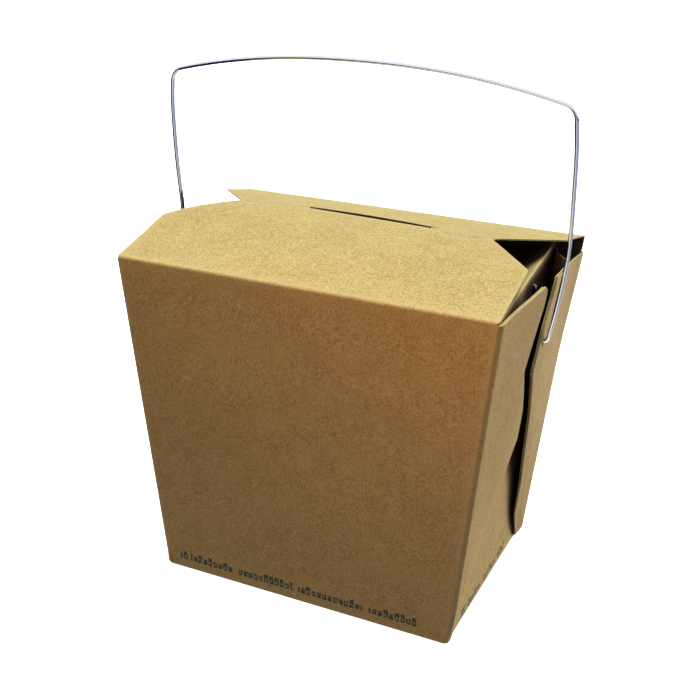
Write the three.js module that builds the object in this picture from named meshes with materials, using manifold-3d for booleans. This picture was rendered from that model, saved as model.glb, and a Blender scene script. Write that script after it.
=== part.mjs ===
// A folded paperboard takeaway box, shut, with its wire carrying handle.
// Millimetres. X runs across the front, Y from front to rear, Z up; the base
// stands on Z = 0 and the pivot axis of the handle crosses X = 0, Y = 0.

import * as THREE from 'three';
import { mergeVertices } from 'three/addons/utils/BufferGeometryUtils.js';
import Module from 'manifold-3d';

const wasm = await Module();
wasm.setup();

// Driving dimensions of the box
const TOP_WIDTH = 110;
const TOP_DEPTH = 77;
const BASE_WIDTH = 91;
const BASE_DEPTH = 70;
const RIM_HEIGHT = 99;
const REAR_RIM_RISE = 1.1;
const REAR_RIM_FLARE = 1.2;
const TWO_PLIES = 0.9;

// The side walls lean in from the front corner to the rear, most at the rim
const WALL_LEAN = 0.087;
const LEAN_POWER = 0.6;

// Lid of two flaps over a low arch, their corners cut back to a waist
const FLAP_THICKNESS = 0.6;
const FLAP_OVERLAP_Y = -6;
const FLAP_LAP_END_Y = 3.5;
const FLAP_LAP_EASE = 3;
const WAIST_Y = 2.2;
const WAIST_HALF_WIDTH = 38.9;
const FRONT_SHOULDER_Y = -15.4;
const REAR_SHOULDER_Y = 20.8;

// Height of the lid over the middle of the box, as [Y, height], and how far
// each side of it is softened. Behind the shoulders the left side sits higher.
const LID_PROFILE = [[-38.5, 99], [-15.4, 105.4], [-8, 106.4], [2.2, 107], [7, 106.1], [20.8, 103.8], [38.5, 100.1]];
const LID_SOFTNESS = 3;
const LID_TILT = 0.0085;

// Tongue of the front flap and the slot that takes it, a little askew
const TONGUE_HALF_WIDTH = 20;
const TONGUE_Y = 5.2;
const SLOT_SKEW = 0.06;
const SLOT_WIDTH = 0.9;
const SLOT_DEPTH = 3;

// Side dust flaps fold inward and down from the rim
const DUST_FLAP_INNER_X = 38;
const DUST_FLAP_INNER_Z = 91;
const DUST_FLAP_SLOPE = 0.6;
const WALL_THICKNESS = 0.6;

// Corner webs folded out onto the side walls. Each edge point is [height, Y].
const FRONT_WEB_EDGE = [[0, -33], [50, -1], [60, -3.5], [76, -12.5], [86, -9], [94, -5.4], [97.5, -5.6], [99, -8]];
const REAR_WEB_EDGE = [[0, 28], [12, 21], [26, 18.5], [57, 3.5], [73, -5], [77, -4], [85, -2], [92, 2], [98, 4]];
const WEB_TOP = 98;
const FRONT_WEB_TOP_DROP = 0.2;
const REAR_WEB_TOP_DROP = 2.6;
const REAR_WEB_SPLAY = 0.55;
const REAR_POCKET_DEPTH = 10;
const REAR_POCKET_START = 0.05;
const REAR_POCKET_END = 0.4;
const FRONT_WEB_FLARE = { most: 2, fromHeight: 20, toHeight: 98 };
const REAR_WEB_FLARE = { most: 2.2, fromHeight: -10, toHeight: 84 };
const FLARE_REACH = 34;

// Near the top the left webs lean in, clear of the handle's lower left leg
const LEFT_WEB_LEAN = { most: 0.65, fromHeight: 84, toHeight: 96 };
const NO_LEAN = { most: 0, fromHeight: 84, toHeight: 96 };
const WEB_ROOT = 1.4;
const WEB_SUNK = 0.3;

// Wire handle
const WIRE_DIAMETER = 1.2;
const PIVOT_HEIGHT = 80.7;
const PIVOT_LEG_X = 57.4;
const HANDLE_CORNER_X = 59.5;
const HANDLE_CORNER_RADIUS = 63.2;
const CROSSBAR_RISE = 7.1;
const CROSSBAR_POWER = 2.2;
const HOOK_X = 52.7;
const HOOK_TIP_HEIGHT = 96.3;
const CRANK_BEND = 1.3;
const TOP_BEND = 3.2;
const HOLE_RADIUS = 1.4;
const HOOK_ROOM = 0.3;
const WIRE_STEPS = 160;

// Distance of each leg from the middle of the box at even shares of its length.
// The left leg is bent in lower down.
const RIGHT_LEG = [57.3, 58.5, 59.5, 60.3, 60.9, 61.1, 60.95, 60.8, 60.6, 60.2, 59.5];
const LEFT_LEG = [57.3, 57.95, 58.1, 58.2, 58.5, 59.2, 59.7, 60, 60.2, 60.2, 59.5];

function lerp(a, b, t) {
  return a + (b - a) * t;
}

function smooth(t) {
  const s = Math.min(1, Math.max(0, t));
  return s * s * (3 - 2 * s);
}

// Value of a line through points [key, value], in rising order of key
function along(points, key) {
  let index = 0;
  while (index < points.length - 2 && key > points[index + 1][0]) {
    index += 1;
  }
  const [k0, v0] = points[index];
  const [k1, v1] = points[index + 1];
  const t = Math.min(1, Math.max(0, (key - k0) / (k1 - k0)));
  return lerp(v0, v1, t);
}

// Rows between two values, with a row at each named break
function rows(breaks, spacing) {
  const list = [breaks[0]];
  for (let i = 1; i < breaks.length; i += 1) {
    const count = Math.max(1, Math.round((breaks[i] - breaks[i - 1]) / spacing));
    for (let k = 1; k <= count; k += 1) {
      list.push(lerp(breaks[i - 1], breaks[i], k / count));
    }
  }
  return list;
}

// A box with segments, each of its points moved to place(u, v, w), where
// u, v and w run from 0 to 1 along X, Y and Z
function shapedBox(countX, countY, countZ, place) {
  const geometry = new THREE.BoxGeometry(1, 1, 1, countX, countY, countZ);
  const position = geometry.attributes.position;
  for (let i = 0; i < position.count; i += 1) {
    const [x, y, z] = place(position.getX(i) + 0.5, position.getY(i) + 0.5, position.getZ(i) + 0.5);
    position.setXYZ(i, x, y, z);
  }
  return geometry;
}

// A closed geometry as a solid that can be joined and cut
function solid(geometry) {
  const bare = geometry.clone();
  bare.deleteAttribute('normal');
  bare.deleteAttribute('uv');
  const merged = mergeVertices(bare, 1e-4);
  return new wasm.Manifold(new wasm.Mesh({
    numProp: 3,
    vertProperties: new Float32Array(merged.attributes.position.array),
    triVerts: new Uint32Array(merged.index.array),
  }));
}

function geometryOf(body) {
  const mesh = body.getMesh();
  const geometry = new THREE.BufferGeometry();
  geometry.setAttribute('position', new THREE.BufferAttribute(new Float32Array(mesh.vertProperties), 3));
  geometry.setIndex(new THREE.BufferAttribute(new Uint32Array(mesh.triVerts), 1));
  const facets = geometry.toNonIndexed();
  facets.computeVertexNormals();
  return facets;
}

function mirrored(geometry) {
  const copy = geometry.clone();
  copy.scale(-1, 1, 1);
  const index = copy.index.array;
  for (let i = 0; i < index.length; i += 3) {
    const swap = index[i];
    index[i] = index[i + 1];
    index[i + 1] = swap;
  }
  return copy;
}

// Tapered body of the box

function rimHeight(v) {
  return RIM_HEIGHT + REAR_RIM_RISE * v;
}

function wallY(v, height) {
  const share = Math.min(1, height / RIM_HEIGHT);
  return (v - 0.5) * lerp(BASE_DEPTH, TOP_DEPTH, share);
}

function wallX(height) {
  return lerp(BASE_WIDTH, TOP_WIDTH, height / RIM_HEIGHT) / 2;
}

// How far the side wall leans in from the flat tapered plane
function lean(y, height) {
  const back = y + TOP_DEPTH / 2;
  return WALL_LEAN * back * Math.min(1, height / RIM_HEIGHT) ** LEAN_POWER;
}

function bodySolid() {
  return solid(shapedBox(2, 20, 20, (u, v, w) => {
    const z = w * rimHeight(v);
    const y = wallY(v, z);
    return [(u - 0.5) * 2 * (wallX(z) - lean(y, z)), y, z];
  }));
}

// How far the rear corners spread near the rim
function rearFlare(height) {
  return REAR_RIM_FLARE * smooth((height / rimHeight(1) - 0.6) / 0.4);
}

// The rear wall spans the full width, past the leaning side walls
function rearWall() {
  return solid(shapedBox(2, 1, 20, (u, v, w) => {
    const z = w * rimHeight(1);
    const half = wallX(z) + rearFlare(z);
    return [(u - 0.5) * 2 * half, wallY(1, z) - (1 - v) * WALL_THICKNESS, z];
  }));
}

// Room above a dust flap, out to beyond the side wall
function dustFlapRoom() {
  const outer = TOP_WIDTH;
  const shape = new THREE.Shape();
  shape.moveTo(DUST_FLAP_INNER_X, DUST_FLAP_INNER_Z);
  shape.lineTo(outer, DUST_FLAP_INNER_Z + (outer - DUST_FLAP_INNER_X) * DUST_FLAP_SLOPE);
  shape.lineTo(outer, 2 * RIM_HEIGHT);
  shape.lineTo(DUST_FLAP_INNER_X, 2 * RIM_HEIGHT);
  shape.closePath();
  const length = TOP_DEPTH - 2 * WALL_THICKNESS;
  const geometry = new THREE.ExtrudeGeometry(shape, { depth: length, bevelEnabled: false });
  geometry.rotateX(Math.PI / 2);
  geometry.translate(0, length / 2, 0);
  return geometry;
}

// Lid

// Height of the lid at a point: its profile softened, and tilted where it is loose
function lidHeight(x, y) {
  const reach = Math.min(LID_SOFTNESS, TOP_DEPTH / 2 - Math.abs(y));
  let sum = 0;
  for (const step of [-1, -0.5, 0, 0.5, 1]) {
    sum += along(LID_PROFILE, y + step * reach);
  }
  const loose = smooth((y + 16) / 10) * smooth((36 - y) / 20);
  return sum / 5 - LID_TILT * x * loose;
}

const FRONT_FLAP_OUTLINE = [
  [-TOP_DEPTH / 2, TOP_WIDTH / 2],
  [FRONT_SHOULDER_Y, TOP_WIDTH / 2 - 0.2],
  [WAIST_Y, WAIST_HALF_WIDTH],
  [WAIST_Y + 0.5, 31],
  [TONGUE_Y - 0.8, TONGUE_HALF_WIDTH + 2],
  [TONGUE_Y, TONGUE_HALF_WIDTH],
];

const REAR_FLAP_OUTLINE = [
  [FLAP_OVERLAP_Y, WAIST_HALF_WIDTH - 4],
  [WAIST_Y, WAIST_HALF_WIDTH],
  [REAR_SHOULDER_Y, TOP_WIDTH / 2],
  [TOP_DEPTH / 2, TOP_WIDTH / 2 + REAR_RIM_FLARE],
];

// The rear flap dips under the front flap as far as it is lapped
function rearFlapLift(y) {
  return -FLAP_THICKNESS * (1 - smooth((y - FLAP_LAP_END_Y) / FLAP_LAP_EASE));
}

// A flap with its top raised above the lid's height by lift(y)
function flapSolid(outline, lift) {
  const list = rows(outline.map((point) => point[0]), 3);
  return solid(shapedBox(2, list.length - 1, 1, (u, v, w) => {
    const y = list[Math.round(v * (list.length - 1))];
    const x = (u - 0.5) * 2 * along(outline, y);
    return [x, y, lidHeight(x, y) + lift(y) - (1 - w) * FLAP_THICKNESS];
  }));
}

// What the lid stands on, between the two dust flaps
function lidFilling() {
  const end = TOP_DEPTH / 2 - WALL_THICKNESS;
  const list = rows([-end, FLAP_OVERLAP_Y, WAIST_Y, end], 3);
  return solid(shapedBox(1, list.length - 1, 1, (u, v, w) => {
    const y = list[Math.round(v * (list.length - 1))];
    const x = (u - 0.5) * 2 * DUST_FLAP_INNER_X;
    const lapped = y < FLAP_OVERLAP_Y ? 0 : rearFlapLift(y);
    return [x, y, lerp(RIM_HEIGHT - 2, lidHeight(x, y) + lapped - FLAP_THICKNESS / 2, w)];
  }));
}

function slotCutter() {
  const y = TONGUE_Y + SLOT_WIDTH / 2 + SLOT_SKEW * TONGUE_HALF_WIDTH;
  const top = lidHeight(0, y) + 1;
  const geometry = new THREE.BoxGeometry(2 * TONGUE_HALF_WIDTH, SLOT_WIDTH, SLOT_DEPTH + 1);
  geometry.rotateZ(-Math.atan(SLOT_SKEW));
  geometry.translate(0, y, top - (SLOT_DEPTH + 1) / 2);
  return solid(geometry);
}

// Corner webs, drawn for the side at +X

function risen(height, flare) {
  return flare.most * smooth((height - flare.fromHeight) / (flare.toHeight - flare.fromHeight));
}

// How far a web's outer face stands off the flat tapered plane
function webOffset(fromCorner, height, flare, leanIn) {
  const root = TWO_PLIES * smooth(fromCorner / WEB_ROOT);
  const out = risen(height, flare) - risen(height, leanIn);
  return root + out * smooth(fromCorner / FLARE_REACH);
}

// A web runs from its corner of the box to its free edge. Low down its inner
// face is sunk in the wall; higher up it stands clear of it.
function webGeometry(edge, flare, topDrop, isRear, leanIn) {
  const levels = rows(edge.map((point) => point[0]), 6);
  return shapedBox(1, 8, levels.length - 1, (u, v, w) => {
    const level = levels[Math.round(w * (levels.length - 1))];
    const across = isRear ? 1 - v : v;
    const z = level - topDrop * (1 - across) * (level / WEB_TOP) ** 4;
    const corner = wallY(isRear ? 1 : 0, z);
    const y = lerp(corner, along(edge, level), across);
    const outer = webOffset(Math.abs(y - corner), z, flare, leanIn);
    const sunk = WEB_SUNK * (1 - across) + WEB_SUNK * smooth(1 - z / 60);
    const splay = isRear ? rearSplay(across, z) : 0;
    const inner = Math.min(outer - TWO_PLIES, outer / 2) - sunk - splay;
    const flared = isRear ? rearFlare(z) * (1 - smooth(across * 2)) * u : 0;
    return [wallX(z) + lerp(inner, outer, u) + flared, y, z];
  });
}

// How far the rear web's inner ply strays from its outer ply, to where the
// leaning side wall ends
function rearSplay(across, z) {
  return lean(TOP_DEPTH / 2, z) * (1 - smooth(across / REAR_WEB_SPLAY));
}

// Gap between the two plies of the rear web, open at the top
function rearPocket(leanIn) {
  return shapedBox(1, 6, 4, (u, v, w) => {
    const z = lerp(WEB_TOP - REAR_POCKET_DEPTH, WEB_TOP + WIRE_DIAMETER / 2, w);
    const across = lerp(REAR_POCKET_START, REAR_POCKET_END, 1 - v);
    const corner = wallY(1, z);
    const y = lerp(corner, along(REAR_WEB_EDGE, z), across);
    const outer = webOffset(corner - y, z, REAR_WEB_FLARE, leanIn) - TWO_PLIES / 2;
    const inner = Math.min(outer - TWO_PLIES / 2, -rearSplay(across, z) + TWO_PLIES / 2);
    return [wallX(z) + lerp(inner, outer, u), y, z];
  });
}

function pivotCylinder(radius, fromX, toX) {
  const geometry = new THREE.CylinderGeometry(radius, radius, toX - fromX, 32);
  geometry.rotateZ(Math.PI / 2);
  geometry.translate((fromX + toX) / 2, 0, PIVOT_HEIGHT);
  return geometry;
}

// Room for the hook between the wall and the webs, and the pierced hole
function hookRoom() {
  const reach = HOOK_TIP_HEIGHT - PIVOT_HEIGHT + WIRE_DIAMETER;
  const half = WIRE_DIAMETER / 2 + HOOK_ROOM;
  return [
    pivotCylinder(reach, HOOK_X - half, HOOK_X + half),
    pivotCylinder(HOLE_RADIUS, HOOK_X, PIVOT_LEG_X + 2),
  ];
}

function websOfOneSide(leanIn) {
  return [
    webGeometry(FRONT_WEB_EDGE, FRONT_WEB_FLARE, FRONT_WEB_TOP_DROP, false, leanIn),
    webGeometry(REAR_WEB_EDGE, REAR_WEB_FLARE, REAR_WEB_TOP_DROP, true, leanIn),
  ];
}

function cartonGeometry() {
  let body = bodySolid().add(rearWall());
  for (const side of [dustFlapRoom(), mirrored(mergeVertices(dustFlapRoom()))]) {
    body = body.subtract(solid(side));
  }
  body = body.add(lidFilling());
  body = body.add(flapSolid(REAR_FLAP_OUTLINE, rearFlapLift));
  body = body.add(flapSolid(FRONT_FLAP_OUTLINE, () => 0));
  body = body.subtract(slotCutter());
  for (const web of websOfOneSide(NO_LEAN)) {
    body = body.add(solid(web));
  }
  for (const web of websOfOneSide(LEFT_WEB_LEAN)) {
    body = body.add(solid(mirrored(web)));
  }
  body = body.subtract(solid(rearPocket(NO_LEAN)));
  body = body.subtract(solid(mirrored(rearPocket(LEFT_WEB_LEAN))));
  for (const cutter of hookRoom()) {
    body = body.subtract(solid(cutter));
    body = body.subtract(solid(mirrored(cutter)));
  }
  return geometryOf(body);
}

// Wire handle, in the upright plane Y = 0

function legPoint(leg, radius) {
  const shares = leg.map((x, index) => [index / (leg.length - 1), x]);
  const x = along(shares, radius / HANDLE_CORNER_RADIUS);
  return new THREE.Vector3(x, 0, PIVOT_HEIGHT + radius);
}

function barPoint(x) {
  const rise = CROSSBAR_RISE * (1 - (x / HANDLE_CORNER_X) ** CROSSBAR_POWER);
  return new THREE.Vector3(x, 0, PIVOT_HEIGHT + HANDLE_CORNER_RADIUS + rise);
}

function arcPoints(cx, cz, radius, fromAngle, toAngle, count) {
  const list = [];
  for (let i = 0; i <= count; i += 1) {
    const angle = lerp(fromAngle, toAngle, i / count);
    list.push(new THREE.Vector3(cx + radius * Math.cos(angle), 0, cz + radius * Math.sin(angle)));
  }
  return list;
}

// One half of the wire, drawn at +X, from the hook's tip to the middle of the crossbar
function halfWirePoints(leg) {
  const points = [];
  for (let i = 0; i <= 3; i += 1) {
    points.push(new THREE.Vector3(HOOK_X, 0, lerp(HOOK_TIP_HEIGHT, PIVOT_HEIGHT + CRANK_BEND + 1.5, i / 3)));
  }
  const low = PIVOT_HEIGHT + CRANK_BEND;
  points.push(...arcPoints(HOOK_X + CRANK_BEND, low, CRANK_BEND, Math.PI, 1.5 * Math.PI, 4));
  points.push(...arcPoints(PIVOT_LEG_X - CRANK_BEND, low, CRANK_BEND, -0.5 * Math.PI, 0, 4));
  const legTop = HANDLE_CORNER_RADIUS - TOP_BEND;
  for (let i = 1; i <= 12; i += 1) {
    points.push(legPoint(leg, lerp(CRANK_BEND + 2, legTop, i / 12)));
  }
  const barStart = HANDLE_CORNER_X - TOP_BEND;
  const bend = new THREE.QuadraticBezierCurve3(
    legPoint(leg, legTop),
    legPoint(leg, HANDLE_CORNER_RADIUS),
    barPoint(barStart),
  );
  points.push(...bend.getPoints(5).slice(1));
  for (let i = 1; i <= 10; i += 1) {
    points.push(barPoint(lerp(barStart, 0, i / 10)));
  }
  return points;
}

function wireGeometry() {
  const right = halfWirePoints(RIGHT_LEG);
  const left = halfWirePoints(LEFT_LEG).slice(0, -1).reverse();
  for (const point of left) {
    point.x = -point.x;
  }
  const path = new THREE.CatmullRomCurve3([...right, ...left], false, 'centripetal');
  const section = new THREE.Shape();
  section.absarc(0, 0, WIRE_DIAMETER / 2, 0, 2 * Math.PI);
  return new THREE.ExtrudeGeometry(section, {
    steps: WIRE_STEPS,
    curveSegments: 4,
    bevelEnabled: false,
    extrudePath: path,
  });
}

const carton = new THREE.Mesh(
  cartonGeometry(),
  new THREE.MeshStandardMaterial({ color: 0xc9a873, roughness: 0.85, metalness: 0 }),
);
carton.name = 'carton';

const wireHandle = new THREE.Mesh(
  wireGeometry(),
  new THREE.MeshStandardMaterial({ color: 0xc4c8cc, roughness: 0.25, metalness: 1 }),
);
wireHandle.name = 'wire_handle';

const box = new THREE.Group();
box.add(carton);
box.add(wireHandle);

export default box;
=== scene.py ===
"""A shut takeaway box folded from kraft board, with its wire carrying handle.

Sizes are in millimetres until a mesh is made. X runs across the front, Y from
front to rear and Z up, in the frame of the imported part.
"""

import math

import bpy
import numpy as np
from mathutils import Matrix, Vector
from mathutils.kdtree import KDTree


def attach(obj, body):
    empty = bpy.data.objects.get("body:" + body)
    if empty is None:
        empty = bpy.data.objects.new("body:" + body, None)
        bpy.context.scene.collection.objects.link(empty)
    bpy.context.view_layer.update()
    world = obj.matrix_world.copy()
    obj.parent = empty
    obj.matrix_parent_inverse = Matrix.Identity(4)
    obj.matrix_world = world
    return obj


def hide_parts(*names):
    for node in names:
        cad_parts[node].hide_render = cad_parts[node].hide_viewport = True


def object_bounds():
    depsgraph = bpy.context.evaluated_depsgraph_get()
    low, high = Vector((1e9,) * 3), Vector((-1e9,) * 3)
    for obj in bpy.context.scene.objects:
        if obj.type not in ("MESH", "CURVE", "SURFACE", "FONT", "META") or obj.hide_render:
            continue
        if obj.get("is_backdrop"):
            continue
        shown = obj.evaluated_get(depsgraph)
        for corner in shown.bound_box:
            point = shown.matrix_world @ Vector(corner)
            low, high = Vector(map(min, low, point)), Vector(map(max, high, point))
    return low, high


MM = 0.001

# Driving dimensions of the box
TOP_WIDTH = 110
TOP_DEPTH = 77
BASE_WIDTH = 91
BASE_DEPTH = 70
RIM_HEIGHT = 99
REAR_RIM_RISE = 1.1
REAR_RIM_FLARE = 1.2
WALL_LEAN = 0.087
LEAN_POWER = 0.6

# The board and how it folds
BOARD = 0.42
TWO_PLIES = 0.9
FOLD = 0.6
WIDE_FOLD = 0.8
FOLD_STEPS = 5
FINE = 1.5
LID_FINE = 1.2
BASE_FINE = 2.5
CUT_BEVEL = 0.06
CREASE_REACH = 1.0

# Places of a board's three finishes in its list of materials
OUTER_FINISH = 0
CUT_FINISH = 1
INNER_FINISH = 2

# How far below the rim the front and rear walls stop and the fold begins
RIM_MARGIN = 0.9

# How much the slack board swells, ripples, curls and sags
WALL_BELLY = 0.3
SIDE_RIPPLE = 0.25
WEB_RIPPLE = 0.28
WEB_CURL = 0.45
FRONT_FLAP_RIPPLE = 0.15
DUST_FLAP_SAG = 0.5

# Lid of two flaps, their corners cut back to a waist
WAIST_Y = 2.2
WAIST_HALF_WIDTH = 38.9
FRONT_SHOULDER_Y = -15.4
REAR_SHOULDER_Y = 20.8
FLAP_OVERLAP_Y = -6

# Height of the lid over the middle of the box, as (Y, height), and how far
# each side of it is softened. Between the shoulders the left side sits higher.
LID_PROFILE = [
    (-38.5, 99),
    (-15.4, 105.4),
    (-8, 106.4),
    (2.2, 107),
    (7, 106.1),
    (20.8, 103.8),
    (38.5, 100.1),
]
LID_SOFTNESS = 3
LID_TILT = 0.0085

# Tongue of the front flap and the slot that takes it, a little askew. The
# free edge of the flap is drawn as (distance from the middle, Y).
TONGUE_HALF_WIDTH = 20
TONGUE_DROP = 6
TONGUE_END_WIDTH = 0.94
SLOT_SKEW = 0.06
SLOT_FRONT = 5.2
SLOT_REAR = 7.5
SLOT_FROM = -19.1
SLOT_TO = 20.9
SLOT_LIP = 0.35
FREE_EDGE = [(0, 5.0), (20, 5.0), (20.6, 4.6), (28, 1.4), (33, 0.5), (38.9, 2.2)]

# The tongue's bend down into the slot, as steps (back, up) from the free edge
TONGUE_BEND = [
    (0.35, -0.06),
    (0.6, -0.2),
    (0.75, -0.5),
    (0.8, -1.0),
    (0.85, -2.0),
    (0.95, -3.6),
    (1.1, -TONGUE_DROP),
]

# Half widths of the two lid flaps along the box, as (Y, half width)
FRONT_FLAP_OUTLINE = [
    (-TOP_DEPTH / 2, TOP_WIDTH / 2),
    (FRONT_SHOULDER_Y, TOP_WIDTH / 2 - 0.2),
    (WAIST_Y, WAIST_HALF_WIDTH),
]
REAR_FLAP_OUTLINE = [
    (FLAP_OVERLAP_Y, WAIST_HALF_WIDTH - 4),
    (WAIST_Y, WAIST_HALF_WIDTH),
    (REAR_SHOULDER_Y, TOP_WIDTH / 2),
    (TOP_DEPTH / 2, TOP_WIDTH / 2 + REAR_RIM_FLARE),
]

# Side walls, cut a little short of the corners, and their dust flaps. A flap
# ends at a share of the way to the rear corner and narrows as it goes in.
SIDE_INSET = 0.5
DUST_FLAP_END = 0.92
DUST_FLAP_LENGTH = 24
DUST_FLAP_ANGLE = math.radians(31)
DUST_FLAP_TAPER = 0.2

# Directions of the front and the rear of the box along Y
FRONT = -1
REAR = 1

# Corner webs folded out onto the side walls. Each edge point is (height, Y).
# Below the fold's top a web turns back at its edge, above it the plies part.
FRONT_WEB = {
    "edge": [
        (0, -33), (50, -1), (60, -3.5), (76, -12.5),
        (86, -9), (94, -5.4), (97.5, -5.6), (99, -8),
    ],
    "top": 99,
    "fold_top": 50,
    "top_drop": 0.9,
    "apart": 0.08,
    "splay": 0,
    "flare": 2,
    "flare_from": 20,
    "flare_to": 98,
}
REAR_WEB = {
    "edge": [
        (0, 28), (12, 21), (26, 18.5), (57, 3.5),
        (73, -5), (77, -4), (85, -2), (92, 2), (98, 4),
    ],
    "top": 98,
    "fold_top": 73,
    "top_drop": 2.6,
    "apart": 0.2,
    "splay": 0.55,
    "flare": 2.2,
    "flare_from": -10,
    "flare_to": 84,
}
FLARE_REACH = 34
WEB_ROOT = 1.4
WEB_COLUMNS = 22
WEB_TURN_STEPS = 6

# Near the top the left webs lean in, clear of the handle's lower left leg
LEFT_WEB_LEAN = 0.65
LEFT_LEAN_FROM = 84
LEFT_LEAN_TO = 96

# Holes that the wire has torn open in the rear webs. The arc is in half turns;
# the tear's lower end is (Y, height) from the middle of the hole.
HOLE_RADIUS = 0.95
HOLE_FROM_X = 53.4
HOLE_TO_X = 62
HOLE_ARC = (-0.15, 1.15)
TEAR_END = (0.1, -2.5)

# Wire handle
WIRE_RADIUS = 0.6
WIRE_SIDES = 24
PIVOT_HEIGHT = 80.7
PIVOT_LEG_X = 57.4
HANDLE_CORNER_X = 59.5
HANDLE_CORNER_RADIUS = 63.2
CROSSBAR_RISE = 7.1
CROSSBAR_POWER = 2.2
HOOK_X = 52.7
HOOK_TIP_HEIGHT = 96.3
HOOK_GLINT = 1.0
CRANK_BEND = 1.3
TOP_BEND = 3.2

# Distance of each leg from the middle of the box at even shares of its length.
# The left leg is bent in lower down.
RIGHT_LEG = [57.3, 58.5, 59.5, 60.3, 60.9, 61.1, 60.95, 60.8, 60.6, 60.2, 59.5]
LEFT_LEG = [57.3, 57.95, 58.1, 58.2, 58.5, 59.2, 59.7, 60, 60.2, 60.2, 59.5]

# Stage, in metres: the pale floor and the walls round it glow like a light table
FLOOR_GLOW = 1.0
STAGE_REACH = 6.0
FLOOR_LEVEL = -0.00005
CEILING_LEVEL = 1.2

# Camera of the photograph
CAMERA_AZIMUTH = math.radians(24.7)
CAMERA_ELEVATION = math.radians(22.9)
CAMERA_ROLL = math.radians(1.0)
CAMERA_DISTANCE = 335.9
CAMERA_AIM = Vector((0, 0, 55))
CAMERA_ASIDE = -1.21
CAMERA_RAISED = 11.1
CAMERA_LENS = 57.47
SENSOR = 36


# Sums on arrays


def lerp(a, b, t):
    return a + (b - a) * t


def bend(start, corner, end, t):
    """Points of the curve that rounds the corner between two points."""
    return (1 - t) ** 2 * start + 2 * t * (1 - t) * corner + t**2 * end


def smooth(t):
    s = np.clip(t, 0, 1)
    return s * s * (3 - 2 * s)


def rise(value, start, reach):
    """0 up to the start, then softly up to 1 over the reach."""
    return smooth((value - start) / reach)


def fall(value, end, reach):
    """1 at first, then softly down over the reach to 0 at the end."""
    return smooth((end - value) / reach)


def along(points, key):
    """Value of a line through points (key, value), in rising order of key."""
    keys, values = np.array(points, float).T
    return np.interp(key, keys, values)


def rows(breaks, spacing):
    """Values from the first break to the last, with one at each break."""
    parts = [
        np.linspace(a, b, max(1, round(abs(b - a) / spacing)) + 1)[1:]
        for a, b in zip(breaks, breaks[1:])
    ]
    return np.concatenate([[breaks[0]], *parts])


def fold(before, corner, after, setback, steps=FOLD_STEPS):
    """Points of a bend that rounds the corner of a line."""
    before, corner, after = (np.asarray(p, float) for p in (before, corner, after))
    into = corner + (before - corner) / np.linalg.norm(before - corner) * setback
    out = corner + (after - corner) / np.linalg.norm(after - corner) * setback
    return bend(into, corner, out, np.linspace(0, 1, steps + 1)[:, None])


def wave(a, b, seed):
    """A slow, uneven rise and fall between -1 and 1 over a sheet."""
    turn = np.random.default_rng(seed).uniform(0, 2 * math.pi, 4)
    return (
        np.sin(a / 17 + turn[0]) * np.sin(b / 21 + turn[1])
        + 0.6 * np.sin(a / 9 + b / 13 + turn[2])
        + 0.4 * np.sin(b / 7 - a / 15 + turn[3])
    ) / 2


# Form of the box


def wall_x(z):
    return lerp(BASE_WIDTH, TOP_WIDTH, z / RIM_HEIGHT) / 2


def wall_y(z):
    return lerp(BASE_DEPTH, TOP_DEPTH, np.minimum(1, z / RIM_HEIGHT)) / 2


def lean(y, z):
    """How far the side wall leans in from the flat tapered plane."""
    share = np.clip(z / RIM_HEIGHT, 0, 1) ** LEAN_POWER
    return WALL_LEAN * (y + TOP_DEPTH / 2) * share


def lid_height(x, y):
    reach = np.clip(TOP_DEPTH / 2 - np.abs(y), 0, LID_SOFTNESS)
    steps = np.linspace(-1, 1, 9)
    height = sum(along(LID_PROFILE, y + step * reach) for step in steps) / len(steps)
    # The lid tilts where it is loose, between its shoulders
    loose = rise(y, -16, 10) * fall(y, 36, 20)
    return height - LID_TILT * x * loose


def askew(x):
    """How far the free edge of the front flap is turned at a point."""
    return -SLOT_SKEW * x * fall(np.abs(x), WAIST_HALF_WIDTH, 12)


def free_edge(x):
    return along(FREE_EDGE, np.abs(x)) + askew(x)


def rear_flare(z):
    """How far the rear corners spread near the rim."""
    return REAR_RIM_FLARE * rise(z / (RIM_HEIGHT + REAR_RIM_RISE), 0.6, 0.4)


def web_offset(distance, z, web, hand):
    """How far a web's outer face stands off the flat tapered plane."""
    root = TWO_PLIES * smooth(distance / WEB_ROOT)
    out = web["flare"] * rise(z, web["flare_from"], web["flare_to"] - web["flare_from"])
    if hand < 0:
        out = out - LEFT_WEB_LEAN * rise(z, LEFT_LEAN_FROM, LEFT_LEAN_TO - LEFT_LEAN_FROM)
    return root + out * smooth(distance / FLARE_REACH)


# Meshes


def link(obj):
    bpy.context.scene.collection.objects.link(obj)
    return obj


def all_faces(points):
    """A mark for each face of a grid of points, set to keep it."""
    return np.ones((points.shape[0] - 1, points.shape[1] - 1), bool)


def grid_object(name, points, keep, flip=False):
    """A sheet from a grid of points. A face that lacks a point is left out."""
    count = points.shape[1]
    there = ~np.isnan(points[..., 0])
    whole = there[:-1, :-1] & there[1:, :-1] & there[1:, 1:] & there[:-1, 1:] & keep
    row, column = np.nonzero(whole)
    first = row * count + column
    quads = np.stack([first, first + 1, first + count + 1, first + count], axis=1)
    if flip:
        quads = quads[:, ::-1]
    used, index = np.unique(quads, return_inverse=True)
    mesh = bpy.data.meshes.new(name)
    mesh.from_pydata(points.reshape(-1, 3)[used] * MM, [], index.reshape(-1, 4).tolist())
    mesh.update()
    return link(bpy.data.objects.new(name, mesh))


def store(obj, name, values):
    layer = obj.data.attributes.new(name, "FLOAT", "POINT")
    layer.data.foreach_set("value", values)


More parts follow.
